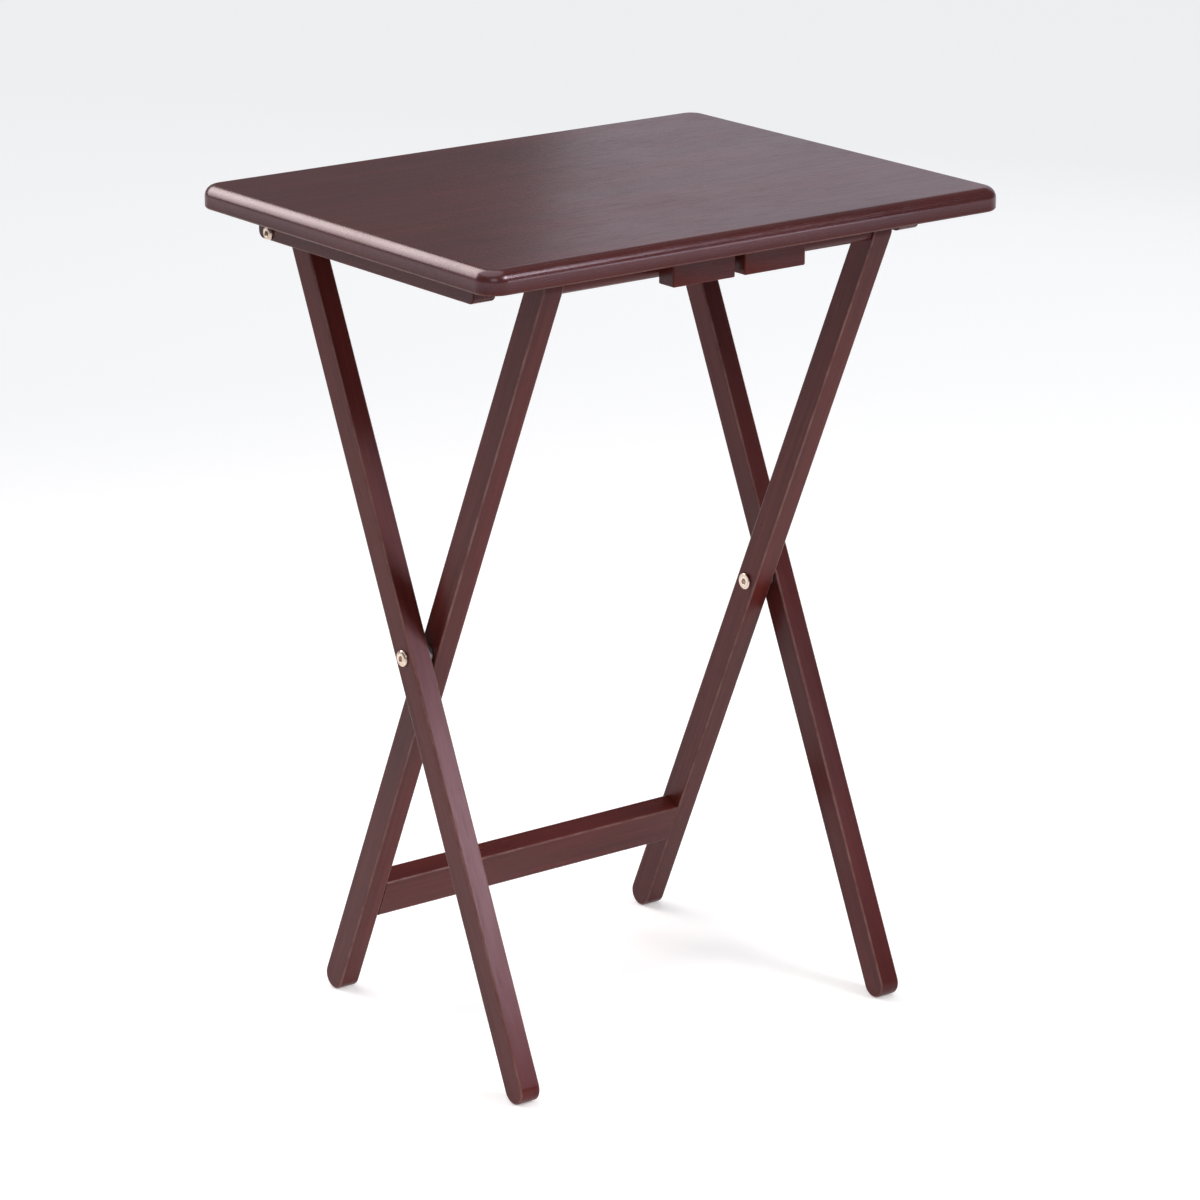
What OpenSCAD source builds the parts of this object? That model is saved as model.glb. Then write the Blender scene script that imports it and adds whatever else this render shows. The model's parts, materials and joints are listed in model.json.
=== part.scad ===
// Folding tray table: a wooden tray on two crossed pairs of legs.
// Origin on the floor under the middle of the tray. +X along the tray, +Y to the back, +Z up.
// The outer legs lean back to the tray pivots. The inner legs lean forward to the top rail.

/* [Tray] */
// Height of the tray's top face above the floor
table_h = 660; // [560:1:720]
// Length of the tray, left to right
tray_w = 483; // [460:1:560]
// Depth of the tray, front to back
tray_d = 381; // [370:1:430]
// Thickness of the tray
tray_t = 18; // [17:0.5:22]
// Radius of the tray's corners in plan
tray_corner_r = 17; // [14:1:30]
// Radius of the rounded upper edge
tray_edge_r = 9; // [4:0.5:12]
// Width of the small bevel on the lower edge
tray_arris = 1.5; // [0.5:0.5:3]

/* [Cleats and catch blocks] */
// Distance of the cleats' front ends from the middle
cleat_front = 128; // [105:1:130]
// Distance of the cleats' back ends from the middle
cleat_back = 153; // [150:1:162]
// Thickness of each end cleat
cleat_t = 20; // [18:1:24]
// Height of each end cleat
cleat_h = 21.5; // [21:0.5:26]
// Radius of the cleat's lower end corners
cleat_corner_r = 6; // [2:1:8]
// Length of each catch block
block_l = 57.5; // [40:0.5:80]
// Depth of each catch block, front to back
block_d = 18; // [14:0.5:20]
// Height of each catch block
block_h = 21.5; // [18:0.5:24]
// Gap between the two catch blocks
block_gap = 9; // [4:0.5:20]
// Distance from the tray's front edge to the catch blocks
block_inset = 20; // [14:0.5:21]

/* [Legs] */
// Width of a leg, seen from the side
leg_w = 22; // [20:0.5:23]
// Thickness of a leg, seen from the front
leg_t = 18; // [17:0.5:20]
// Distance from the middle to the centre of each outer leg
outer_leg_x = 178; // [160:1:190]
// Gap between an outer leg and the inner leg beside it
leg_gap = 5; // [3:0.1:6]
// Gap between an outer leg and the cleat beside it
cleat_gap = 3; // [1.5:0.1:4]
// Distance of every foot from the middle, front to back
foot_y = 138; // [130:1:140]
// Height of the tray pivot below the tray's underside
pivot_drop = 15.5; // [15:0.5:17]

/* [Rail and stretcher] */
// Diameter of the round top rail
rail_d = 16; // [14:0.5:19]
// Gap between the inner legs' tops and the tray's underside
rail_gap = 1; // [0.8:0.1:2]
// Diameter of the rail's tenons
tenon_d = 12; // [8:0.5:13]
// Length of the rail's tenons
tenon_l = 14; // [8:1:15]
// Width of the stretcher, up the legs
stretcher_h = 35.5; // [28:0.5:50]
// Thickness of the stretcher
stretcher_t = 17.5; // [12:0.5:18]
// Distance along the leg from the foot's centre to the stretcher
stretcher_up = 69; // [40:1:120]

/* [Bolts and screws] */
// Diameter of the pivot bolts
bolt_d = 6; // [5:0.5:6]
// Diameter of the leg bolts' heads and nut flanges
leg_head_d = 13; // [11:0.5:14]
// Diameter of the tray bolts' heads and nut flanges
tray_head_d = 11; // [10.5:0.5:12]
// Height of the bolt heads
head_h = 2.6; // [2:0.1:3]
// Outer diameter of the sleeve nuts
sleeve_d = 9; // [8:0.5:10]
// Thickness of the sleeve nuts' flanges
flange_h = 2; // [1.5:0.1:2.5]
// Width across the flats of the hexagon sockets
socket_af = 4; // [3:0.5:4]
// Diameter of the wood screws
screw_d = 4; // [3:0.5:4.5]
// Diameter of the wood screws' heads
screw_head_d = 8; // [6:0.5:9]
// Diameter of the stretcher's dowels
dowel_d = 8; // [6:0.5:10]

/* [Hidden] */
$fn = 64;

LEFT = -1;
RIGHT = 1;
WOOD = [0.30, 0.12, 0.10];
WOOD_LIGHT = [0.36, 0.16, 0.13];
BARE_WOOD = [0.80, 0.65, 0.45];
NICKEL = [0.80, 0.76, 0.70];
STEEL = [0.62, 0.62, 0.64];

eps = 0.01;           // overlap that keeps a cut clean
run_gap = 0.08;       // radial clearance of a pin that turns in its hole
slip_gap = 0.05;      // radial clearance of a pin that is fixed in its hole
face_gap = 0.2;       // clearance between flat faces that slide on each other

// Heights
under_z = table_h - tray_t;
pivot_z = under_z - pivot_drop;
foot_r = leg_w / 2;
cross_z = (pivot_z + foot_r) / 2;
rail_z = under_z - rail_gap - foot_r;

// The legs cross at y = 0, half way up the outer legs
outer_run = pivot_z - foot_r;
lean = atan(2 * foot_y / outer_run);
outer_leg_l = outer_run / cos(lean);
inner_leg_l = (rail_z - foot_r) / cos(lean);
cross_up = outer_leg_l / 2;

// Faces across the table, measured from the middle
outer_in = outer_leg_x - leg_t / 2;
outer_out = outer_leg_x + leg_t / 2;
inner_out = outer_in - leg_gap;
inner_in = inner_out - leg_t;
inner_leg_x = (inner_in + inner_out) / 2;
cleat_in = outer_out + cleat_gap;
cleat_out = cleat_in + cleat_t;
washer_leg_in = inner_out + face_gap;
washer_cleat_out = cleat_in - face_gap;
washer_outer_in = outer_out + face_gap;

// Fasteners
flange_pocket = flange_h + 1;
nut_wall = 5;         // solid end of a sleeve nut, which holds its hexagon socket
socket_deep = 2;
washer_d = 14;
screw_grip = 12;      // length of a screw inside the tray
cleat_pocket = 10;    // depth of the screw pockets in a cleat
block_pocket = 8;     // depth of the screw pockets in a catch block
screw_head_h = 2.5;
pocket_gap = 0.2;     // radial clearance of a screw's head in its pocket
cross_l = 0.6 * screw_head_d;
cross_w = 1;          // width and depth of the cross recess in a screw's head
rim_share = 0.55;     // height of a bolt head's straight rim, as a share of the head's height
crown_share = 0.7;    // width of a bolt head's flat crown, as a share of the head's diameter
cleat_screw_y = [-92, 9, 110];
block_screw_x = [-15, 15];
dowel_l = 32;
dowel_in_leg = 12;
dowel_pitch = 16;

// Draws the children on the right, or mirrored to the left
module on_side(side) {
    if (side == LEFT) mirror([1, 0, 0]) children();
    else children();
}

// A cylinder along +X between two planes
module x_rod(d, x0, x1) {
    translate([x0, 0, 0]) rotate([0, 90, 0]) cylinder(d = d, h = x1 - x0);
}

// Extrudes an outline drawn in (Y, Z) along +X between two planes
module side_extrude(x0, x1) {
    translate([x0, 0, 0]) rotate([90, 0, 90]) linear_extrude(x1 - x0) children();
}

// The frame of a leg: its foot's centre at the origin, its length along +Z
module in_leg(foot, angle) {
    translate([0, foot, foot_r]) rotate([angle, 0, 0]) children();
}

module in_outer_leg() {
    in_leg(-foot_y, -lean) children();
}

module in_inner_leg() {
    in_leg(foot_y, lean) children();
}

module at_cross() {
    translate([0, 0, cross_z]) children();
}

module at_tray_pivot() {
    translate([0, foot_y, pivot_z]) children();
}

// Outline of a bar with round ends, from centre to centre along +Y
module bar_outline(length) {
    circle(d = leg_w);
    translate([-leg_w / 2, 0]) square([leg_w, length]);
    translate([0, length]) circle(d = leg_w);
}

// Section of the tray's edge: inner side at x = 0, lower face at y = 0
module edge_section() {
    difference() {
        square([tray_corner_r, tray_t]);
        translate([tray_corner_r - tray_edge_r, tray_t - tray_edge_r]) difference() {
            square(tray_edge_r + eps);
            circle(r = tray_edge_r);
        }
        translate([tray_corner_r, 0]) rotate(45) square(tray_arris * sqrt(2), center = true);
    }
}

// One rounded corner of the tray, with its centre at the origin
module tray_corner() {
    rotate_extrude(angle = 90) edge_section();
}

// One edge of the tray, running along +Y, with its inner side at x = 0
module tray_edge(length) {
    rotate([90, 0, 0]) translate([0, 0, -length]) linear_extrude(length) edge_section();
}

module tray_slab() {
    half_w = tray_w / 2 - tray_corner_r;
    half_d = tray_d / 2 - tray_corner_r;
    translate([-half_w, -half_d, 0]) cube([2 * half_w, 2 * half_d, tray_t]);
    for (turn = [0, 180]) rotate(turn) {
        translate([half_w, -half_d, 0]) tray_edge(2 * half_d);
        translate([half_w, half_d, 0]) tray_corner();
    }
    for (turn = [90, 270]) rotate(turn) {
        translate([half_d, -half_w, 0]) tray_edge(2 * half_w);
        translate([half_d, half_w, 0]) tray_corner();
    }
}

// A wood screw pointing up, with the underside of its head at z = 0
module wood_screw(length) {
    difference() {
        translate([0, 0, -screw_head_h]) cylinder(d = screw_head_d, h = screw_head_h);
        for (turn = [0, 90]) rotate(turn)
            translate([-cross_l / 2, -cross_w / 2, -screw_head_h - eps]) cube([cross_l, cross_w, cross_w]);
    }
    cylinder(d = screw_d, h = length);
}

// The hole for a wood screw through a piece of the given height, entered from below
module screw_hole(height, pocket) {
    translate([0, 0, -eps]) cylinder(d = screw_head_d + 2 * pocket_gap, h = pocket + eps);
    cylinder(d = screw_d + 2 * slip_gap, h = height + eps);
}

module tray_panel() {
    color(WOOD) difference() {
        translate([0, 0, under_z]) tray_slab();
        for (side = [LEFT, RIGHT]) on_side(side) {
            at_cleat_screws() translate([0, 0, under_z - eps]) pilot_hole();
            at_block_screws() translate([0, 0, under_z - eps]) pilot_hole();
        }
    }
}

module pilot_hole() {
    cylinder(d = screw_d + 2 * slip_gap, h = screw_grip + eps);
}

module at_cleat_screws() {
    for (y = cleat_screw_y) translate([(cleat_in + cleat_out) / 2, y, 0]) children();
}

module at_block_screws() {
    for (x = block_screw_x)
        translate([(block_gap + block_l) / 2 + x, -tray_d / 2 + block_inset + block_d / 2, 0]) children();
}

// Outline of a cleat in (Y, Z), with its lower end corners rounded
module cleat_outline() {
    low = under_z - cleat_h;
    flat_l = cleat_front + cleat_back - 2 * cleat_corner_r;
    translate([-cleat_front, low + cleat_corner_r])
        square([cleat_front + cleat_back, cleat_h - cleat_corner_r]);
    translate([-cleat_front + cleat_corner_r, low]) {
        square([flat_l, cleat_corner_r]);
        for (y = [0, flat_l]) translate([y, cleat_corner_r]) circle(r = cleat_corner_r);
    }
}

module cleat(side) {
    color(WOOD) on_side(side) difference() {
        side_extrude(cleat_in, cleat_out) cleat_outline();
        at_tray_pivot() x_rod(bolt_d + 2 * run_gap, cleat_in - eps, cleat_out + eps);
        at_cleat_screws() translate([0, 0, under_z - cleat_h]) screw_hole(cleat_h, cleat_pocket);
    }
}

module cleat_screws(side) {
    color(STEEL) on_side(side) at_cleat_screws() translate([0, 0, under_z - cleat_h + cleat_pocket])
        wood_screw(cleat_h - cleat_pocket + screw_grip);
}

module catch_block(side) {
    color(WOOD) on_side(side) difference() {
        translate([block_gap / 2, -tray_d / 2 + block_inset, under_z - block_h])
            cube([block_l, block_d, block_h]);
        at_block_screws() translate([0, 0, under_z - block_h]) screw_hole(block_h, block_pocket);
    }
}

module block_screws(side) {
    color(STEEL) on_side(side) at_block_screws() translate([0, 0, under_z - block_h + block_pocket])
        wood_screw(block_h - block_pocket + screw_grip);
}

module outer_leg(side) {
    color(WOOD_LIGHT) on_side(side) in_outer_leg() difference() {
        side_extrude(outer_in, outer_out) bar_outline(outer_leg_l);
        translate([0, 0, cross_up]) x_rod(bolt_d + 2 * slip_gap, outer_in - eps, outer_out + eps);
        translate([0, 0, outer_leg_l]) {
            x_rod(sleeve_d + 2 * run_gap, outer_in - eps, outer_out + eps);
            x_rod(tray_head_d + 4 * run_gap, outer_in - eps, outer_in + flange_pocket);
        }
    }
}

module at_dowels() {
    for (end = [-1, 1])
        translate([0, stretcher_t / 2 - leg_w / 2, stretcher_up + stretcher_h / 2 + end * dowel_pitch / 2])
            children();
}

module inner_leg(side) {
    color(WOOD_LIGHT) on_side(side) in_inner_leg() difference() {
        side_extrude(inner_in, inner_out) bar_outline(inner_leg_l);
        translate([0, 0, cross_up]) x_rod(sleeve_d + 2 * run_gap, inner_in - eps, inner_out + eps);
        translate([0, 0, inner_leg_l]) x_rod(tenon_d + 2 * slip_gap, inner_in - eps, inner_in + tenon_l);
        at_dowels() x_rod(dowel_d + 2 * slip_gap, inner_in - eps, inner_in + dowel_in_leg);
    }
}

module top_rail() {
    color(WOOD_LIGHT) in_inner_leg() translate([0, 0, inner_leg_l]) {
        x_rod(rail_d, -inner_in, inner_in);
        x_rod(tenon_d, -inner_in - tenon_l, inner_in + tenon_l);
    }
}

module stretcher() {
    color(WOOD_LIGHT) in_inner_leg() difference() {
        translate([-inner_in, -leg_w / 2, stretcher_up]) cube([2 * inner_in, stretcher_t, stretcher_h]);
        for (side = [LEFT, RIGHT]) on_side(side) at_dowels()
            x_rod(dowel_d + 2 * slip_gap, inner_in - dowel_l + dowel_in_leg, inner_in + eps);
    }
}

module stretcher_dowels(side) {
    color(BARE_WOOD) on_side(side) in_inner_leg() at_dowels()
        x_rod(dowel_d, inner_in - dowel_l + dowel_in_leg, inner_in + dowel_in_leg);
}

// A bolt along X: the underside of its head at x0, its tip at x1, nearer the middle
module pivot_bolt(head_d, x0, x1) {
    rim_h = head_h * rim_share;
    difference() {
        union() {
            x_rod(head_d, x0, x0 + rim_h);
            translate([x0 + rim_h, 0, 0]) rotate([0, 90, 0])
                cylinder(d1 = head_d, d2 = head_d * crown_share, h = head_h - rim_h);
        }
        hex_socket(x0 + head_h - socket_deep, x0 + head_h + eps);
    }
    x_rod(bolt_d, x1, x0);
}

module hex_socket(x0, x1) {
    translate([x0, 0, 0]) rotate([0, 90, 0]) cylinder(d = socket_af / cos(30), h = x1 - x0, $fn = 6);
}

// A sleeve nut along X: its flange's outer face at x0, its open end at x1
module sleeve_nut(flange_d, x0, x1) {
    difference() {
        union() {
            x_rod(flange_d, x0, x0 + flange_h);
            x_rod(sleeve_d, x0 + flange_h, x1);
        }
        x_rod(bolt_d + 2 * slip_gap, x0 + nut_wall, x1 + eps);
        hex_socket(x0 - eps, x0 + socket_deep);
    }
}

module washer(x0, x1) {
    difference() {
        x_rod(washer_d, x0, x1);
        x_rod(bolt_d + 2 * slip_gap, x0 - eps, x1 + eps);
    }
}

// The leg nut's flange runs just inside the inner leg
leg_nut_in = inner_in - face_gap - flange_h;
// The tray nut's flange sits in a pocket in the outer leg
tray_nut_in = outer_in + flange_pocket - face_gap - flange_h;

module leg_bolt(side) {
    color(NICKEL) on_side(side) at_cross() pivot_bolt(leg_head_d, outer_out, leg_nut_in + nut_wall);
}

module leg_nut(side) {
    color(NICKEL) on_side(side) at_cross() sleeve_nut(leg_head_d, leg_nut_in, washer_leg_in);
}

module leg_washer(side) {
    color(STEEL) on_side(side) at_cross() washer(washer_leg_in, outer_in);
}

module tray_bolt(side) {
    color(NICKEL) on_side(side) at_tray_pivot()
        pivot_bolt(tray_head_d, cleat_out + face_gap, tray_nut_in + nut_wall);
}

module tray_nut(side) {
    color(NICKEL) on_side(side) at_tray_pivot()
        sleeve_nut(tray_head_d, tray_nut_in, washer_outer_in);
}

module tray_washer(side) {
    color(STEEL) on_side(side) at_tray_pivot() washer(washer_outer_in, washer_cleat_out);
}

tray_panel();
cleat(LEFT);  // left_cleat
cleat(RIGHT);  // right_cleat
cleat_screws(LEFT);  // left_cleat_screws
cleat_screws(RIGHT);  // right_cleat_screws
catch_block(LEFT);  // left_catch_block
catch_block(RIGHT);  // right_catch_block
block_screws(LEFT);  // left_block_screws
block_screws(RIGHT);  // right_block_screws
outer_leg(LEFT);  // left_outer_leg
outer_leg(RIGHT);  // right_outer_leg
inner_leg(LEFT);  // left_inner_leg
inner_leg(RIGHT);  // right_inner_leg
top_rail();
stretcher();
stretcher_dowels(LEFT);  // left_stretcher_dowels
stretcher_dowels(RIGHT);  // right_stretcher_dowels
leg_bolt(LEFT);  // left_leg_bolt
leg_bolt(RIGHT);  // right_leg_bolt
leg_nut(LEFT);  // left_leg_nut
leg_nut(RIGHT);  // right_leg_nut
leg_washer(LEFT);  // left_leg_washer
leg_washer(RIGHT);  // right_leg_washer
tray_bolt(LEFT);  // left_tray_bolt
tray_bolt(RIGHT);  // right_tray_bolt
tray_nut(LEFT);  // left_tray_nut
tray_nut(RIGHT);  // right_tray_nut
tray_washer(LEFT);  // left_tray_washer
tray_washer(RIGHT);  // right_tray_washer
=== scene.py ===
import json
import math

import bmesh
import bpy
from mathutils import Matrix, Vector


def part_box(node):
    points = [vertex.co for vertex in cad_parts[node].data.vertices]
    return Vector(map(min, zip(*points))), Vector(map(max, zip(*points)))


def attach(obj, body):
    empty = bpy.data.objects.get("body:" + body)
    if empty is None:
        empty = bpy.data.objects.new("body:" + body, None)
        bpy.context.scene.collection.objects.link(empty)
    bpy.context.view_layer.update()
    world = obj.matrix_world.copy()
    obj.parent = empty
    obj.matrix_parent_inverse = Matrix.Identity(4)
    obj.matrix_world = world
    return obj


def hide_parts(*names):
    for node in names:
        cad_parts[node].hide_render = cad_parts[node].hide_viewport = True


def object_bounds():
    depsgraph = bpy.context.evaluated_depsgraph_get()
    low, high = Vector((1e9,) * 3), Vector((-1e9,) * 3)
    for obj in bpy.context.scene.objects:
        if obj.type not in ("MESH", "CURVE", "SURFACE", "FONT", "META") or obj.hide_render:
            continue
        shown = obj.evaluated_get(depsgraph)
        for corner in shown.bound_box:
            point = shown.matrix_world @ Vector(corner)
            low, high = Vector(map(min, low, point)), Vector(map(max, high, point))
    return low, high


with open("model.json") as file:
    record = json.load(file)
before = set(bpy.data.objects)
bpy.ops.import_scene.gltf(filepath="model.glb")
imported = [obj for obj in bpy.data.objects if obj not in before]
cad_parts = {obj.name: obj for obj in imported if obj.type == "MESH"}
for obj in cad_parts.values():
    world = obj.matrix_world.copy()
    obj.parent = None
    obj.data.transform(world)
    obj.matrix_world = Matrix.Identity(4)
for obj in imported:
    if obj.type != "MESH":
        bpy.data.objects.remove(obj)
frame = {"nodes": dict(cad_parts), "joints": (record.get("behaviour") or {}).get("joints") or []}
CAD_LO, CAD_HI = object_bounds()

NODES = frame["nodes"]
JOINTS = {j["name"]: Vector(j["pos_m"]) for j in frame["joints"]}
MM = 0.001
X, Y, Z = Vector((1, 0, 0)), Vector((0, 1, 0)), Vector((0, 0, 1))
SIDES = (("left", -1), ("right", 1))

TRAY_EDGE = 9 * MM
TRAY_CORNER = 17 * MM
LEG_EASE = 1.7 * MM
CLEAT_CORNER = 6 * MM
TENON_RADIUS = 6 * MM
SCREW_HEAD = 2.5 * MM
SCREW_POCKET = 4.2 * MM
SLEEVE_RADIUS = 4.5 * MM
SLEEVE_HOLE = 4.58 * MM
FLANGE_POCKET = 5.66 * MM
BOLT_SHANK = 3 * MM
BOLT_HOLE = 3.08 * MM
NUT_BORE = 3.05 * MM
HEX_CORNER = 2 / math.cos(math.pi / 6) * MM
PAST_FACE = 1 * MM
SAME_POINT = 0.004 * MM


# ---------------------------------------------------------------- placing

def axes(origin, x_axis, y_axis):
    """A frame with the given origin, local X and local Y."""
    x, y = x_axis.normalized(), y_axis.normalized()
    m = Matrix((x, y, x.cross(y))).transposed().to_4x4()
    m.translation = origin
    return m


def span(node, m):
    """Lowest and highest corner of a CAD node, measured in the frame m."""
    inv = m.inverted()
    co = [inv @ v.co for v in NODES[node].data.vertices]
    lo = Vector([min(c[k] for c in co) for k in range(3)])
    hi = Vector([max(c[k] for c in co) for k in range(3)])
    return lo, hi


def make_object(name, mesh, m):
    """An object at the frame m, whose local X is the way its grain runs."""
    o = bpy.data.objects.new(name, mesh)
    bpy.context.scene.collection.objects.link(o)
    o.matrix_world = m
    return o


def settle(mesh, m, shift):
    """Keeps a mesh's own coordinates as its grain, then moves it to its place.
    The shift gives like pieces unlike grain."""
    grain = mesh.attributes.new("grain", "FLOAT_VECTOR", "POINT")
    offset = Vector(shift)
    for i, v in enumerate(mesh.vertices):
        grain.data[i].vector = v.co + offset
    mesh.transform(m)


def smooth(o, angle=32):
    """Smooth shading with sharp creases, flat faces kept flat."""
    mesh = o.data
    mesh.polygons.foreach_set("use_smooth", [True] * len(mesh.polygons))
    mesh.set_sharp_from_angle(angle=math.radians(angle))
    w = o.modifiers.new("even_normals", "WEIGHTED_NORMAL")
    w.keep_sharp = True
    w.weight = 100


def add_piece(o, body, material, slot, *nodes, shift=(0, 0, 0)):
    """Gives a piece its place, material and body, and hides the CAD nodes it stands for. The slot is not
    used.
    """
    settle(o.data, o.matrix_world, shift)
    o.matrix_world = Matrix.Identity(4)
    o.data.materials.clear()
    o.data.materials.append(material)
    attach(o, body)
    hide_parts(*nodes)


# ---------------------------------------------------------------- solids in mesh code

def arc(radius, count):
    """Steps round a quarter circle: (inset, height, edge mark) from the flat end face out to the side. The
    edge mark, highest half way round, shows rubbing on the tray and is a painted highlight on the legs.
    """
    steps = []
    for i in range(count + 1):
        t = math.pi / 2 * i / count
        steps.append((radius * (1 - math.sin(t)), radius * (1 - math.cos(t)), math.sin(2 * t)))
    return steps


def corner_points(hu, hv, radii, inset, count):
    """A rectangle with rounded corners, moved in by inset: (u, v, edge mark) points, anticlockwise.
    Only the sharper corners get the edge mark: rubbing on the tray's pieces, a painted highlight on the legs
    and stretcher."""
    least, sharp = 0.02 * MM, 3 * MM
    points = []
    signs = ((1, 1), (-1, 1), (-1, -1), (1, -1))
    for k, (su, sv) in enumerate(signs):
        r = max(radii[k] - inset, least)
        cu, cv = su * (hu - inset - r), sv * (hv - inset - r)
        for i in range(count + 1):
            a = math.pi / 2 * (k + i / count)
            wear_and_highlight = math.sin(math.pi * i / count) if radii[k] < sharp else 0.0
            points.append((cu + r * math.cos(a), cv + r * math.sin(a), wear_and_highlight))
    return points


def bar_mesh(name, hu, hv, radii, depth, low, high, along, count):
    """A bar with eased edges: a rounded outline drawn through depth, with edge steps low and high.
    The outline's half sizes are hu and hv, and each of its corners has count steps.
    Its local X runs along the grain: along "u" the outline's length, along "w" the depth."""
    levels = [(i, -depth / 2 + h, e) for i, h, e in low]
    levels += [(i, depth / 2 - h, e) for i, h, e in reversed(high)]
    bm = bmesh.new()
    wear_and_highlight_layer = bm.verts.layers.float.new("wear_and_highlight_layer")
    rings = []
    for inset, w, wear_and_highlight in levels:
        ring = []
        for u, v, corner_wear_and_highlight in corner_points(hu, hv, radii, inset, count):
            co = (u, v, w) if along == "u" else (w, u, v)
            vert = bm.verts.new(co)
            vert[wear_and_highlight_layer] = max(wear_and_highlight, corner_wear_and_highlight)
            ring.append(vert)
        rings.append(ring)
    n = len(rings[0])
    for a, b in zip(rings, rings[1:]):
        for i in range(n):
            j = (i + 1) % n
            bm.faces.new((a[i], a[j], b[j], b[i]))
    bm.faces.new(list(reversed(rings[0])))
    bm.faces.new(rings[-1])
    bmesh.ops.remove_doubles(bm, verts=bm.verts, dist=SAME_POINT)
    bmesh.ops.recalc_face_normals(bm, faces=bm.faces)
    mesh = bpy.data.meshes.new(name)
    bm.to_mesh(mesh)
    bm.free()
    return mesh


def lathe_mesh(name, profile, count=72):
    """A turned solid round local X. The profile is a list of (x, radius) steps, with "hex" added where the
    section is a hexagon and an edge mark tag on plating thinned by use and on the rail's shoulders, where
    the mark is a painted highlight. It starts and ends on the axis, or closes on itself if its first and
    last steps are the same."""
    bm = bmesh.new()
    wear_and_highlight_layer = bm.verts.layers.float.new("wear_and_highlight_layer")
    closed = profile[0][:2] == profile[-1][:2]
    rings = []
    for step in profile[:-1] if closed else profile:
        x, r = step[0], step[1]
        if r == 0:
            rings.append([bm.verts.new((x, 0, 0))])
            continue
        ring = []
        for i in range(count):
            a = 2 * math.pi * i / count
            k = 1.0
            if "hex" in step:
                k = math.cos(math.pi / 6) / math.cos(a % (math.pi / 3) - math.pi / 6)
            vert = bm.verts.new((x, r * k * math.cos(a), r * k * math.sin(a)))
            vert[wear_and_highlight_layer] = 1.0 if "wear_and_highlight" in step else 0.0
            ring.append(vert)
        rings.append(ring)
    pairs = list(zip(rings, rings[1:]))
    if closed:
        pairs.append((rings[-1], rings[0]))
    for a, b in pairs:
        for i in range(count):
            j = (i + 1) % count
            if len(a) == 1:
                bm.faces.new((a[0], b[j], b[i]))
            elif len(b) == 1:
                bm.faces.new((a[i], a[j], b[0]))
            else:
                bm.faces.new((a[i], a[j], b[j], b[i]))
    bmesh.ops.recalc_face_normals(bm, faces=bm.faces)
    mesh = bpy.data.meshes.new(name)
    bm.to_mesh(mesh)
    bm.free()
    return mesh


def hole_cutter(m, x0, x1, radius, flare=0.4 * MM):
    """A cutter for a round hole along the frame's X. It opens out by flare at x0, the hole's mouth."""
    step = 1 if x1 > x0 else -1
    outer = x0 - step * PAST_FACE
    profile = [(outer, 0), (outer, radius + flare), (x0, radius + flare)]
    profile += [(x0 + step * flare, radius), (x1, radius), (x1, 0)]
    return make_object("cutter", lathe_mesh("cutter", profile, 48), m)


def cut(o, cutters):
    """Cuts the cutters out of o and removes them."""
    bpy.context.view_layer.update()
    for c in cutters:
        b = o.modifiers.new("cut", "BOOLEAN")
        b.operation = "DIFFERENCE"
        b.solver = "EXACT"
        b.object = c
    dg = bpy.context.evaluated_depsgraph_get()
    evaluated = o.evaluated_get(dg)
    mesh = bpy.data.meshes.new_from_object(evaluated, preserve_all_data_layers=True, depsgraph=dg)
    old = o.data
    o.modifiers.clear()
    o.data = mesh
    bpy.data.meshes.remove(old)
    for c in cutters:
        data = c.data
        bpy.data.objects.remove(c)
        bpy.data.meshes.remove(data)


def join(name, objects):
    """Several objects as one, in the first one's frame."""
    bpy.context.view_layer.update()
    base = objects[0].matrix_world.copy()
    bm = bmesh.new()
    bm.verts.layers.float.new("wear_and_highlight_layer")
    for o in objects:
        part = o.data.copy()
        part.transform(base.inverted() @ o.matrix_world)
        bm.from_mesh(part)
        bpy.data.meshes.remove(part)
    mesh = bpy.data.meshes.new(name)
    bm.to_mesh(mesh)
    bm.free()
    for o in objects:
        data = o.data
        bpy.data.objects.remove(o)
        bpy.data.meshes.remove(data)
    return make_object(name, mesh, base)


# ---------------------------------------------------------------- materials

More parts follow.
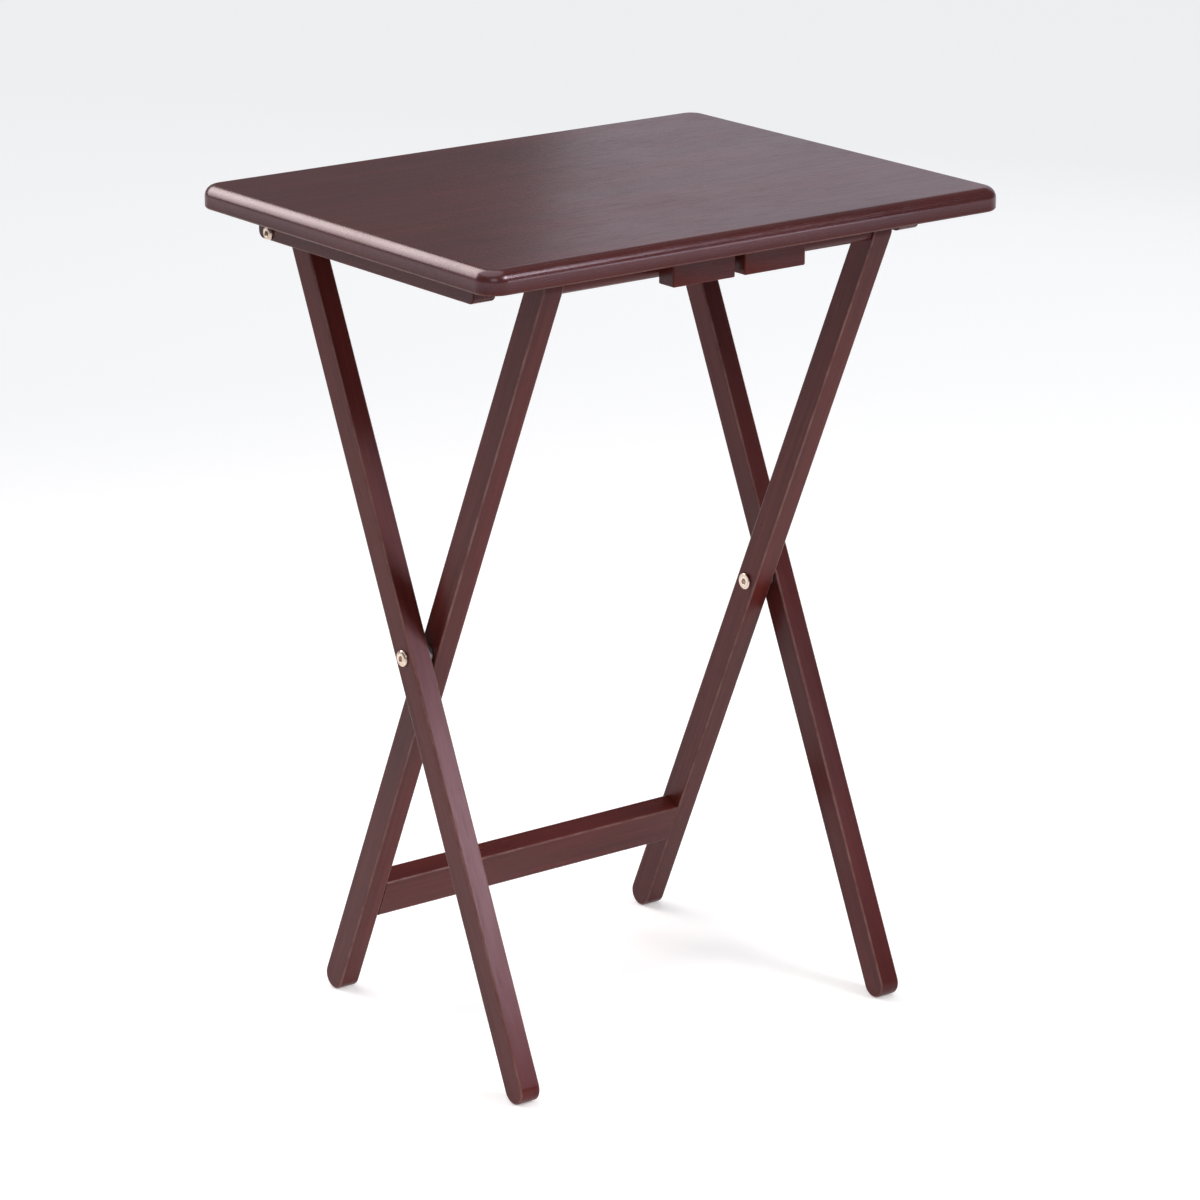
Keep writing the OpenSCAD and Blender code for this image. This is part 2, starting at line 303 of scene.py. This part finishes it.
class Tree:
    """Short calls for building a node material."""

    def __init__(self, name):
        self.material = bpy.data.materials.new(name)
        self.material.use_nodes = True
        self.nodes = self.material.node_tree.nodes
        self.links = self.material.node_tree.links
        self.shader = self.nodes["Principled BSDF"]

    def link(self, source, target):
        """Links a socket to the target, or sets the target's value."""
        if isinstance(source, bpy.types.NodeSocket):
            self.links.new(source, target)
        else:
            target.default_value = source

    def node(self, kind, **settings):
        n = self.nodes.new(kind)
        for key, value in settings.items():
            setattr(n, key, value)
        return n

    def coordinates(self, scale):
        """The piece's own coordinates in metres, local X along its grain, times scale."""
        c = self.node("ShaderNodeAttribute", attribute_name="grain")
        m = self.node("ShaderNodeMapping")
        m.inputs["Scale"].default_value = scale
        self.links.new(c.outputs["Vector"], m.inputs["Vector"])
        return m.outputs["Vector"]

    def noise(self, scale, detail, rough, distortion=0.0):
        """Noise with scale cells per metre along the grain and across it."""
        n = self.node("ShaderNodeTexNoise")
        n.inputs["Scale"].default_value = 1.0
        n.inputs["Detail"].default_value = detail
        n.inputs["Roughness"].default_value = rough
        n.inputs["Distortion"].default_value = distortion
        self.links.new(self.coordinates(scale), n.inputs["Vector"])
        return n.outputs["Fac"]

    def math(self, operation, a, b=0.0, c=0.0):
        n = self.node("ShaderNodeMath", operation=operation)
        for value, socket in zip((a, b, c), n.inputs):
            self.link(value, socket)
        return n.outputs[0]

    def remap(self, value, low, high, to_low, to_high):
        """Moves the range low to high onto to_low to to_high, and holds the ends."""
        n = self.node("ShaderNodeMapRange")
        for k, v in enumerate((value, low, high, to_low, to_high)):
            self.link(v, n.inputs[k])
        return n.outputs[0]

    def ramp(self, value, *stops):
        n = self.node("ShaderNodeValToRGB")
        while len(n.color_ramp.elements) < len(stops):
            n.color_ramp.elements.new(0.5)
        for e, (position, colour) in zip(n.color_ramp.elements, stops):
            e.position = position
            e.color = (*colour, 1.0)
        self.link(value, n.inputs["Fac"])
        return n.outputs["Color"]

    def mix(self, factor, a, b, blend="MIX"):
        n = self.node("ShaderNodeMix", data_type="RGBA", blend_type=blend)
        self.link(factor, n.inputs[0])
        self.link(a if isinstance(a, bpy.types.NodeSocket) else (*a, 1.0), n.inputs[6])
        self.link(b if isinstance(b, bpy.types.NodeSocket) else (*b, 1.0), n.inputs[7])
        return n.outputs[2]

    def wear_and_highlight(self):
        """1 along the middle of eased edges, 0 elsewhere: rubbing on the tray and the metal parts, a painted
        highlight on the legs.
        """
        n = self.node("ShaderNodeAttribute", attribute_name="wear_and_highlight_layer")
        return n.outputs["Fac"]

    def polished(self):
        """1 on the tray's rounded upper edge, 0 elsewhere."""
        n = self.node("ShaderNodeAttribute", attribute_name="polish")
        return n.outputs["Fac"]

    def bump(self, height, distance, strength, normal=None):
        n = self.node("ShaderNodeBump")
        n.inputs["Strength"].default_value = strength
        n.inputs["Distance"].default_value = distance
        self.links.new(height, n.inputs["Height"])
        if normal is not None:
            self.links.new(normal, n.inputs["Normal"])
        return n.outputs["Normal"]

    def set(self, **values):
        """Sets or links the shader's sockets, named with underscores for spaces."""
        for key, value in values.items():
            self.link(value, self.shader.inputs[key.replace("_", " ")])


def lacquered_wood(name, deep, mid, light, rubbed_and_highlight_tint, rough, coat, specular, dull):
    """Stained close-grained wood under lacquer, with its grain along local X. Along the middle of eased
    edges the colour goes towards a lighter tint, and dull says how much of the gloss is lost there. On the
    tray that tint marks rubbing from use;
    on the legs, which lose no gloss there, it is a painted highlight."""
    pore_stain, rub_and_highlight_share, edge_sheen = 0.35, 0.30, 0.4
    t = Tree(name)
    figure = t.noise((2.2, 30, 30), 3.0, 0.5, 0.6)
    streaks = t.noise((7, 260, 260), 4.0, 0.6, 0.2)
    fine = t.noise((45, 1500, 1500), 2.0, 0.6)
    patches = t.noise((5, 9, 9), 2.0, 0.5)
    tone = t.math("MULTIPLY_ADD", figure, 0.5, t.math("MULTIPLY", streaks, 0.5))
    colour = t.ramp(tone, (0.28, deep), (0.50, mid), (0.72, light))
    pores = t.remap(fine, 0.36, 0.46, 1.0, 0.0)
    colour = t.mix(t.math("MULTIPLY", pores, pore_stain), colour, deep)
    shade = t.remap(patches, 0.3, 0.7, 0.86, 1.14)
    colour = t.mix(1.0, colour, t.ramp(shade, (0.0, (0, 0, 0)), (1.0, (1, 1, 1))), "MULTIPLY")
    # Lighter tint along eased edges: marks of rubbing on the tray, a painted highlight on the legs and the
    # rail's shoulders.
    broken_wear_and_highlight = t.remap(t.noise((60, 140, 140), 3.0, 0.6), 0.38, 0.66, 0.45, 1.0)
    rub_and_highlight = t.math("MULTIPLY", t.math("MULTIPLY", t.wear_and_highlight(), broken_wear_and_highlight), rub_and_highlight_share)
    colour = t.mix(rub_and_highlight, colour, rubbed_and_highlight_tint)
    smudges = t.noise((11, 16, 16), 4.0, 0.6)
    gloss = t.remap(smudges, 0.3, 0.7, rough - 0.035, rough + 0.045)
    gloss = t.math("MULTIPLY_ADD", pores, 0.10, gloss)
    gloss = t.math("MULTIPLY_ADD", t.wear_and_highlight(), 0.3 * dull, gloss)
    shine = t.remap(t.wear_and_highlight(), 0.0, 1.0, specular, specular * (1 - dull))
    shine = t.math("MULTIPLY_ADD", t.polished(), edge_sheen, shine)
    grain_relief = t.bump(fine, 0.00006, 0.5)
    relief = t.bump(t.noise((90, 240, 240), 2.0, 0.5), 0.00005, 0.35, grain_relief)
    t.set(Base_Color=colour, Roughness=gloss, Normal=relief)
    t.set(Coat_Weight=coat, Coat_Roughness=0.12)
    t.set(Specular_IOR_Level=shine, Specular_Tint=(0.95, 0.84, 1.0, 1.0))
    return t.material


def bare_wood(name):
    """Pale unfinished wood with dark flecks along local X."""
    t = Tree(name)
    streaks = t.noise((25, 420, 420), 4.0, 0.6)
    flecks = t.noise((160, 1400, 1400), 2.0, 0.6)
    colour = t.ramp(streaks, (0.3, (0.42, 0.27, 0.14)), (0.7, (0.66, 0.48, 0.29)))
    colour = t.mix(t.remap(flecks, 0.36, 0.44, 0.5, 0.0), colour, (0.30, 0.17, 0.08))
    dry = t.remap(streaks, 0.3, 0.7, 0.5, 0.7)
    t.set(Base_Color=colour, Roughness=dry, Normal=t.bump(flecks, 0.0001, 0.5))
    return t.material


def plated_metal(name, dark, bright, rough, edge):
    """Plated steel turned on a lathe: fine rings round local X, faint stains, brighter rims where the
    plating has thinned with use.
    """
    t = Tree(name)
    stains = t.noise((350, 350, 350), 3.0, 0.6)
    rings = t.noise((5000, 120, 120), 2.0, 0.5)
    colour = t.ramp(stains, (0.32, dark), (0.62, bright))
    colour = t.mix(t.math("MULTIPLY", t.wear_and_highlight(), 0.6), colour, edge)
    gloss = t.remap(rings, 0.3, 0.7, rough - 0.05, rough + 0.08)
    scratches = t.bump(rings, 0.00001, 0.6)
    t.set(Base_Color=colour, Roughness=gloss, Normal=t.bump(stains, 0.00002, 0.3, scratches))
    t.set(Metallic=1.0)
    return t.material


TRAY_WOOD = lacquered_wood(
    "tray_lacquer",
    deep=(0.038, 0.0058, 0.0044),
    mid=(0.057, 0.0090, 0.0066),
    light=(0.077, 0.0134, 0.0092),
    rubbed_and_highlight_tint=(0.18, 0.045, 0.030),
    rough=0.20,
    coat=0.04,
    specular=0.26,
    dull=0.8,
)
LEG_WOOD = lacquered_wood(
    "leg_lacquer",
    deep=(0.042, 0.0062, 0.0048),
    mid=(0.068, 0.0105, 0.0080),
    light=(0.094, 0.0162, 0.0118),
    # painted highlight: this pale mauve edge tint stands in for light caught on the legs' eased arrises
    rubbed_and_highlight_tint=(0.42, 0.27, 0.23),
    rough=0.30,
    coat=0.02,
    specular=0.18,
    dull=0.0,
)
BARE_WOOD = bare_wood("bare_beech")
NICKEL = plated_metal(
    "nickel_plate",
    dark=(0.48, 0.37, 0.30),
    bright=(0.70, 0.58, 0.49),
    rough=0.24,
    edge=(0.86, 0.76, 0.68),
)
SCREW_STEEL = plated_metal(
    "screw_zinc",
    dark=(0.36, 0.36, 0.38),
    bright=(0.58, 0.58, 0.60),
    rough=0.36,
    edge=(0.75, 0.75, 0.77),
)
# Painted shade: the washers' zinc is painted darker than the screws', for the shade in the narrow gaps
# between the parts they sit in.
WASHER_STEEL_SHADED = plated_metal(
    "washer_zinc_painted_shade",
    dark=(0.22, 0.22, 0.23),
    bright=(0.36, 0.36, 0.37),
    rough=0.36,
    edge=(0.48, 0.48, 0.50),
)


# ---------------------------------------------------------------- tray

def box_frame(node, x_axis, y_axis):
    """The frame at the middle of a node's box with those axes, and the box's half sizes in it."""
    lo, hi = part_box(node)
    m = axes((lo + hi) / 2, x_axis, y_axis)
    a, b = span(node, m)
    return m, (b - a) / 2


def make_tray():
    """The tray board: a softened arris below, a large round-over above, polished by use."""
    m, half = box_frame("tray_panel", X, Y)
    arris = [(1.85, 0.0, 0.0), (1.55, 0.06, 0.3), (1.25, 0.25, 0.8)]
    arris += [(height, inset, wear_and_highlight) for inset, height, wear_and_highlight in reversed(arris)]
    low = [(i * MM, h * MM, e) for i, h, e in arris]
    faint_wear = 0.10
    round_over = [(i, h, faint_wear * e) for i, h, e in arc(TRAY_EDGE, 14)]
    corners = [TRAY_CORNER] * 4
    mesh = bar_mesh("tray_board", half.x, half.y, corners, 2 * half.z, low, round_over, "u", 16)
    polish = mesh.attributes.new("polish", "FLOAT", "POINT")
    for i, v in enumerate(mesh.vertices):
        on_edge = half.z - TRAY_EDGE < v.co.z < half.z - 0.01 * MM
        polish.data[i].value = 1.0 if on_edge else 0.0
    o = make_object("tray_board", mesh, m)
    smooth(o, 40)
    add_piece(o, "tray", TRAY_WOOD, "tray_wood", "tray_panel", shift=(0.31, 0.12, 0.05))


def screw_axes(node):
    """Where each screw of a node stands: (x, y, underside of its head)."""
    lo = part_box(node)[0]
    rim, reach = 0.5 * MM, 12 * MM
    heads = [v.co for v in NODES[node].data.vertices if v.co.z < lo.z + rim]
    groups = []
    for co in heads:
        for g in groups:
            if (g[0].xy - co.xy).length < reach:
                g.append(co)
                break
        else:
            groups.append([co])
    found = []
    for g in groups:
        x = (min(c.x for c in g) + max(c.x for c in g)) / 2
        y = (min(c.y for c in g) + max(c.y for c in g)) / 2
        found.append(Vector((x, y, lo.z + SCREW_HEAD)))
    return found


def screw_profile(length):
    """A pan head below zero, a plain shank, then thread rings up to a point at length."""
    shank, core, crest, pitch = 1.7 * MM, 1.35 * MM, 1.95 * MM, 1.4 * MM
    plain, taper = 0.4 * length, 4 * MM
    head = [(-2.5, 0), (-2.5, 2.2), (-2.3, 3.1, "wear_and_highlight"), (-1.7, 3.75, "wear_and_highlight")]
    head += [(-0.9, 3.98), (-0.2, 3.9), (0, 3.6)]
    profile = [(step[0] * MM, step[1] * MM, *step[2:]) for step in head]
    profile += [(0, shank), (plain, shank)]
    x = plain
    while x < length - taper:
        profile += [(x + 0.2 * pitch, core), (x + 0.5 * pitch, core)]
        profile += [(x + 0.65 * pitch, crest), (x + 0.8 * pitch, core)]
        x += pitch
    return profile + [(length - 1 * MM, 0.5 * MM), (length, 0)]


def cross_cutters(m):
    """Two crossed wedges for the recess in a screw's head. Both are narrower at its bottom."""
    bottom, depth, long, wide, narrowing = -0.9, 1.9, 4.4, 0.95, 0.45
    cutters = []
    for across, up in ((wide, long), (long, wide)):
        bm = bmesh.new()
        bmesh.ops.create_cube(bm, size=1.0)
        for v in bm.verts:
            share = narrowing if v.co.x > 0 else 1.0
            x = bottom + depth * (v.co.x - 0.5)
            v.co = Vector((x, v.co.y * (across * share), v.co.z * (up * share))) * MM
        mesh = bpy.data.meshes.new("cross")
        bm.to_mesh(mesh)
        bm.free()
        cutters.append(make_object("cross", mesh, m))
    return cutters


def make_screws(node):
    """Pan head wood screws with cross recesses, their points up in the tray."""
    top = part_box(node)[1].z
    made = []
    for seat in screw_axes(node):
        m = axes(seat, Z, X)
        o = make_object("screw", lathe_mesh("screw", screw_profile(top - seat.z), 36), m)
        cut(o, cross_cutters(m))
        made.append(o)
    o = join(node.replace("_screws", "_screw_set"), made)
    smooth(o, 35)
    add_piece(o, "tray", SCREW_STEEL, "screw_steel", node)


def pocket_cutters(node, lower):
    """Cutters for the pockets that the screws of a node sit in, from the face at height lower."""
    cutters = []
    for seat in screw_axes(node):
        m = axes(Vector((seat.x, seat.y, 0)), Z, X)
        cutters.append(hole_cutter(m, lower, seat.z, SCREW_POCKET))
    return cutters


def make_cleat(name, shift):
    """A bar under the tray's end, its lower corners rounded, with the hole for the tray bolt."""
    node = name + "_cleat"
    m, half = box_frame(node, Y, Z)
    ease = arc(1.3 * MM, 5)
    upper_corner = 1.4 * MM
    corners = [upper_corner, upper_corner, CLEAT_CORNER, CLEAT_CORNER]
    mesh = bar_mesh(node, half.x, half.y, corners, 2 * half.z, ease, ease, "u", 8)
    o = make_object(name + "_cleat_bar", mesh, m)
    lo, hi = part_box(node)
    pin = axes(JOINTS["tray_lift"], X, Y)
    cutters = [hole_cutter(pin, lo.x, hi.x + PAST_FACE, BOLT_HOLE)]
    cut(o, cutters + pocket_cutters(name + "_cleat_screws", lo.z))
    smooth(o)
    add_piece(o, "tray", TRAY_WOOD, "tray_wood", node, shift=shift)


def make_block(name, shift):
    """One of the two short blocks that keep the top rail in its place."""
    node = name + "_catch_block"
    m, half = box_frame(node, X, Z)
    ease = arc(1.2 * MM, 5)
    mesh = bar_mesh(node, half.x, half.y, [1.3 * MM] * 4, 2 * half.z, ease, ease, "u", 6)
    o = make_object(name + "_catch_bar", mesh, m)
    cut(o, pocket_cutters(name + "_block_screws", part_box(node)[0].z))
    smooth(o)
    add_piece(o, "tray", TRAY_WOOD, "tray_wood", node, shift=shift)


# ---------------------------------------------------------------- legs

def leg_line(node):
    """The centres of a leg's foot and top, and its end radius.
    Outer legs lean back, inner legs lean forward."""
    lo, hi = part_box(node)
    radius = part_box("right_outer_leg")[1].z - JOINTS["tray_lift"].z
    x = (lo.x + hi.x) / 2
    front, back = lo.y + radius, hi.y - radius
    foot_y, top_y = (front, back) if "outer" in node else (back, front)
    return Vector((x, foot_y, lo.z + radius)), Vector((x, top_y, hi.z - radius)), radius


def leg_frame(node):
    """Origin half way up the leg, local X up the leg, local Z along the table."""
    foot, top = leg_line(node)[:2]
    up = (top - foot).normalized()
    return axes((foot + top) / 2, up, X.cross(up))


def make_leg(name, kind, side, shift):
    """A leg with round ends. Outer legs take the tray's sleeve nut near their tops, inner legs take the
    other one at the crossing."""
    node = f"{name}_{kind}_leg"
    foot, top, radius = leg_line(node)
    m = leg_frame(node)
    lo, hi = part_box(node)
    ease = arc(LEG_EASE, 6)
    half_length = (top - foot).length / 2 + radius
    mesh = bar_mesh(node, half_length, radius, [radius] * 4, hi.x - lo.x, ease, ease, "u", 18)
    o = make_object(f"{name}_{kind}_leg_bar", mesh, m)
    inner_face, outer_face = (lo.x, hi.x) if side > 0 else (hi.x, lo.x)
    beyond = outer_face + side * PAST_FACE
    if kind == "outer":
        pin = axes(JOINTS["tray_lift"], X, Y)
        pocket_end = inner_face + side * 3 * MM
        sleeve_start = inner_face + side * 2 * MM
        cutters = [hole_cutter(pin, inner_face, pocket_end, FLANGE_POCKET)]
        cutters.append(hole_cutter(pin, sleeve_start, beyond, SLEEVE_HOLE, 0.0))
    else:
        pin = axes(JOINTS["leg_fold"], X, Y)
        cutters = [hole_cutter(pin, inner_face, beyond, SLEEVE_HOLE)]
    cut(o, cutters)
    smooth(o)
    add_piece(o, f"{kind}_legs", LEG_WOOD, "leg_wood", node, shift=shift)


def make_rail():
    """The round bar between the inner legs' tops. Its thinner ends sit in the legs."""
    lo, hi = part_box("top_rail")
    m = axes((lo + hi) / 2, X, Y)
    r = (hi.z - lo.z) / 2
    half = (hi.x - lo.x) / 2
    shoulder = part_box("right_inner_leg")[0].x
    bevel, ease = 0.8 * MM, 0.4 * MM
    side = [(-half, 0), (-half, TENON_RADIUS - bevel), (-half + bevel, TENON_RADIUS)]
    side += [(-shoulder, TENON_RADIUS), (-shoulder, r - ease)]
    side += [(-shoulder + ease, r, "wear_and_highlight"), (-shoulder + 3 * ease, r)]
    profile = side + [(-step[0], step[1], *step[2:]) for step in reversed(side)]
    o = make_object("top_rail_bar", lathe_mesh("top_rail", profile, 64), m)
    smooth(o, 30)
    add_piece(o, "inner_legs", LEG_WOOD, "leg_wood", "top_rail", shift=(0.4, 0.21, 0.33))


def make_stretcher():
    """The flat board between the inner legs, which leans as they do."""
    leaning = leg_frame("right_inner_leg")
    lo, hi = span("stretcher", leaning)
    centre = leaning @ ((lo + hi) / 2)
    up = leaning.to_3x3() @ X
    m = axes(centre, X, up)
    a, b = span("stretcher", m)
    half = (b - a) / 2
    tight = 0.05 * MM
    square_end = [(tight, 0.0, 0.0), (0.0, tight, 0.0)]
    corners = [LEG_EASE] * 4
    mesh = bar_mesh("stretcher", half.y, half.z, corners, 2 * half.x, square_end, square_end, "w", 6)
    o = make_object("stretcher_bar", mesh, m)
    smooth(o)
    add_piece(o, "inner_legs", LEG_WOOD, "leg_wood", "stretcher", shift=(0.7, 0.44, 0.1))


def make_dowels(node):
    """Beech dowels with eased ends, glued into the stretcher and the inner leg."""
    lo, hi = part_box(node)
    up = (leg_frame("right_inner_leg").to_3x3() @ X).normalized()
    m = axes((lo + hi) / 2, X, up)
    a, b = span(node, m)
    length, r = b.x - a.x, (b.z - a.z) / 2
    bevel = 1 * MM
    profile = [(0, 0), (0, r - bevel), (bevel, r, "wear_and_highlight")]
    profile += [(length - bevel, r, "wear_and_highlight"), (length, r - bevel), (length, 0)]
    made = []
    for y in (a.y + r, b.y - r):
        place = m @ Matrix.Translation((a.x, y, 0))
        made.append(make_object("dowel", lathe_mesh("dowel", profile, 32), place))
    o = join(node.replace("_dowels", "_dowel_pair"), made)
    smooth(o, 30)
    add_piece(o, "inner_legs", BARE_WOOD, "bare_wood", node)


# ---------------------------------------------------------------- bolts, nuts, washers

def outward(origin, side):
    """The frame at a pivot with local X pointing away from the middle of the table."""
    return axes(origin, X * side, Y * side)


def hex_socket(face, inwards):
    """A hexagon socket with an eased mouth in a face, from its rim to the drill point at its bottom."""
    steps = [(0, 0.45, "wear_and_highlight"), (0.18, 0.12), (0.3, 0, "hex"), (2.0, 0, "hex")]
    profile = [(face + inwards * deep * MM, HEX_CORNER + wider * MM, *kind) for deep, wider, *kind in steps]
    return profile + [(face + inwards * 2.0 * MM, 1.6 * MM), (face + inwards * 2.4 * MM, 0)]


def make_bolt(node, origin, side, body):
    """A round-headed bolt with a hexagon socket. Its low dome ends in a flat crown round the socket."""
    m = outward(Vector((0, origin.y, origin.z)), side)
    lo, hi = span(node, m)
    rim = (hi.y - lo.y) / 2
    crown = 0.62 * rim
    top, seat, tip = hi.x, hi.x - 2.6 * MM, lo.x
    shoulder = seat + 0.95 * MM
    bevel, fillet, ease = 0.6 * MM, 0.3 * MM, 0.25 * MM
    profile = [(tip, 0), (tip, BOLT_SHANK - bevel), (tip + bevel, BOLT_SHANK)]
    profile += [(seat - fillet, BOLT_SHANK), (seat, BOLT_SHANK + fillet)]
    profile += [(seat, rim - ease), (seat + ease, rim), (shoulder, rim, "wear_and_highlight")]
    dome_steps = 8
    for i in range(1, dome_steps + 1):
        a = math.pi / 2 * i / dome_steps
        profile.append((shoulder + (top - shoulder) * math.sin(a), crown + (rim - crown) * math.cos(a)))
    profile += hex_socket(top, -1)
    o = make_object(node + "_turned", lathe_mesh(node, profile), m)
    smooth(o, 28)
    add_piece(o, body, NICKEL, "nickel", node)


def make_nut(node, origin, side, body):
    """A sleeve nut. Its flange and hexagon socket face the middle of the table."""
    m = outward(Vector((0, origin.y, origin.z)), side)
    lo, hi = span(node, m)
    r = (hi.y - lo.y) / 2
    face, end = lo.x, hi.x
    flange_back = face + 2.0 * MM
    bevel, ease = 0.4 * MM, 0.2 * MM
    profile = list(reversed(hex_socket(face, 1)))
    profile += [(face, r - 0.9 * MM), (face + 0.12 * MM, r - 0.4 * MM, "wear_and_highlight"), (face + 0.5 * MM, r, "wear_and_highlight")]
    profile += [(flange_back - ease, r), (flange_back, r - ease), (flange_back, SLEEVE_RADIUS)]
    profile += [(end - bevel, SLEEVE_RADIUS), (end, SLEEVE_RADIUS - bevel)]
    profile += [(end, NUT_BORE + bevel), (end - bevel, NUT_BORE)]
    profile += [(face + 5.0 * MM, NUT_BORE), (face + 4.2 * MM, 0)]
    o = make_object(node + "_turned", lathe_mesh(node, profile), m)
    smooth(o, 28)
    add_piece(o, body, NICKEL, "nickel", node)


def make_washer(node, origin, side, body):
    """A flat ring with eased edges."""
    m = outward(Vector((0, origin.y, origin.z)), side)
    lo, hi = span(node, m)
    r = (hi.y - lo.y) / 2
    bore, ease = NUT_BORE, 0.35 * MM
    profile = [(lo.x, bore + ease), (lo.x, r - ease), (lo.x + ease, r, "wear_and_highlight"), (hi.x - ease, r, "wear_and_highlight")]
    profile += [(hi.x, r - ease), (hi.x, bore + ease), (hi.x - ease, bore), (lo.x + ease, bore)]
    profile.append(profile[0])
    o = make_object(node + "_turned", lathe_mesh(node, profile), m)
    smooth(o, 28)
    add_piece(o, body, WASHER_STEEL_SHADED, "washer_steel", node)


make_tray()
make_rail()
make_stretcher()
for index, (name, side) in enumerate(SIDES):
    seed = 0.17 * (index + 1)
    make_cleat(name, (seed, 0.62, 0.2 + seed))
    make_block(name, (0.9 + seed, seed, 0.37))
    make_screws(name + "_cleat_screws")
    make_screws(name + "_block_screws")
    make_leg(name, "outer", side, (0.5 + seed, 0.05 + seed, 0.71))
    make_leg(name, "inner", side, (0.1 + seed, 0.93, 0.48 + seed))
    make_bolt(name + "_leg_bolt", JOINTS["leg_fold"], side, "outer_legs")
    make_nut(name + "_leg_nut", JOINTS["leg_fold"], side, "outer_legs")
    make_washer(name + "_leg_washer", JOINTS["leg_fold"], side, "outer_legs")
    make_bolt(name + "_tray_bolt", JOINTS["tray_lift"], side, "tray_pins")
    make_nut(name + "_tray_nut", JOINTS["tray_lift"], side, "tray_pins")
    make_washer(name + "_tray_washer", JOINTS["tray_lift"], side, "tray_pins")
    make_dowels(name + "_stretcher_dowels")


# ---------------------------------------------------------------- floor, light, camera

def make_floor():
    """A pale paper floor that glows a little, so that it stays pale a long way off."""
    drop = 0.2 * MM
    t = Tree("floor_paper")
    soft = t.noise((1.5, 1.5, 1.5), 2.0, 0.5)
    paper = t.ramp(soft, (0.3, (0.79, 0.79, 0.79)), (0.7, (0.81, 0.81, 0.81)))
    t.set(Base_Color=paper, Roughness=0.7)
    t.set(Emission_Color=(1, 1, 1, 1), Emission_Strength=0.31)
    bm = bmesh.new()
    bmesh.ops.create_grid(bm, x_segments=4, y_segments=4, size=30)
    mesh = bpy.data.meshes.new("floor")
    bm.to_mesh(mesh)
    bm.free()
    o = make_object("floor", mesh, Matrix.Translation((0, 0, CAD_LO.z - drop)))
    o.data.materials.append(t.material)


def make_light(name, position, target, width, height, power, colour=(1, 1, 1), roll=0, spread=180):
    """A rectangular panel that faces its target. Roll and spread are in degrees."""
    data = bpy.data.lights.new(name, "AREA")
    data.shape = "RECTANGLE"
    data.size, data.size_y = width, height
    data.energy = power
    data.color = colour
    data.spread = math.radians(spread)
    o = bpy.data.objects.new(name, data)
    bpy.context.scene.collection.objects.link(o)
    o.location = position
    turn = (Vector(target) - Vector(position)).to_track_quat("-Z", "Y").to_matrix()
    o.rotation_euler = (turn @ Matrix.Rotation(math.radians(roll), 3, "Z")).to_euler()
    o.visible_camera = False


def make_sky_light():
    """A wide soft light from above, so that the floor is as pale far off as it is near."""
    data = bpy.data.lights.new("sky", "SUN")
    data.energy = 1.65
    data.angle = math.radians(70)
    o = bpy.data.objects.new("sky", data)
    bpy.context.scene.collection.objects.link(o)
    o.rotation_euler = (math.radians(-8), math.radians(-6), 0)


def make_world():
    """A faint cool light from all round."""
    world = bpy.data.worlds.new("studio")
    bpy.context.scene.world = world
    world.use_nodes = True
    background = world.node_tree.nodes["Background"]
    background.inputs["Color"].default_value = (0.88, 0.92, 1.0, 1)
    background.inputs["Strength"].default_value = 0.20


def make_camera():
    """A long lens from the front left, a little above the tray, aimed at the middle of the table."""
    centre = (CAD_LO + CAD_HI) / 2
    azimuth, elevation, distance = math.radians(-37.1), math.radians(17.2), 3.59
    level = math.cos(elevation)
    back = Vector((math.sin(azimuth) * level, -math.cos(azimuth) * level, math.sin(elevation)))
    data = bpy.data.cameras.new("camera")
    data.lens = 138
    o = bpy.data.objects.new("camera", data)
    bpy.context.scene.collection.objects.link(o)
    o.location = centre + back * distance
    o.rotation_euler = (-back).to_track_quat("-Z", "Y").to_euler()
    bpy.context.scene.camera = o


make_floor()
make_world()
make_sky_light()
make_light(
    "rim_back_left", (-0.82, 2.13, 1.98), (-0.24, 0, 0.65), width=3.0, height=1.1, power=18,
    colour=(1.0, 0.90, 0.84), roll=-35, spread=90,
)
make_light(
    "panel_back_right", (2.51, 1.46, 1.44), (0, 0, 0.66), width=2.6, height=1.6, power=6.5,
    colour=(0.88, 0.88, 1.0),
)
make_light(
    "front_panel", (0.64, -1.62, 1.76), (-0.20, -0.19, 0.65), width=0.65, height=0.6, power=5.0,
    colour=(1.0, 0.94, 0.94), spread=90,
)
make_light(
    "front_low", (0.40, -0.82, 0.52), (-0.19, -0.08, 0.14), width=0.4, height=0.3, power=0.75,
    colour=(1.0, 0.95, 1.0), spread=60,
)
make_light("key", (-2.0, -2.6, 2.1), (0, 0, 0.35), width=1.6, height=1.2, power=15)
make_camera()
bpy.context.scene.view_settings.view_transform = "Standard"
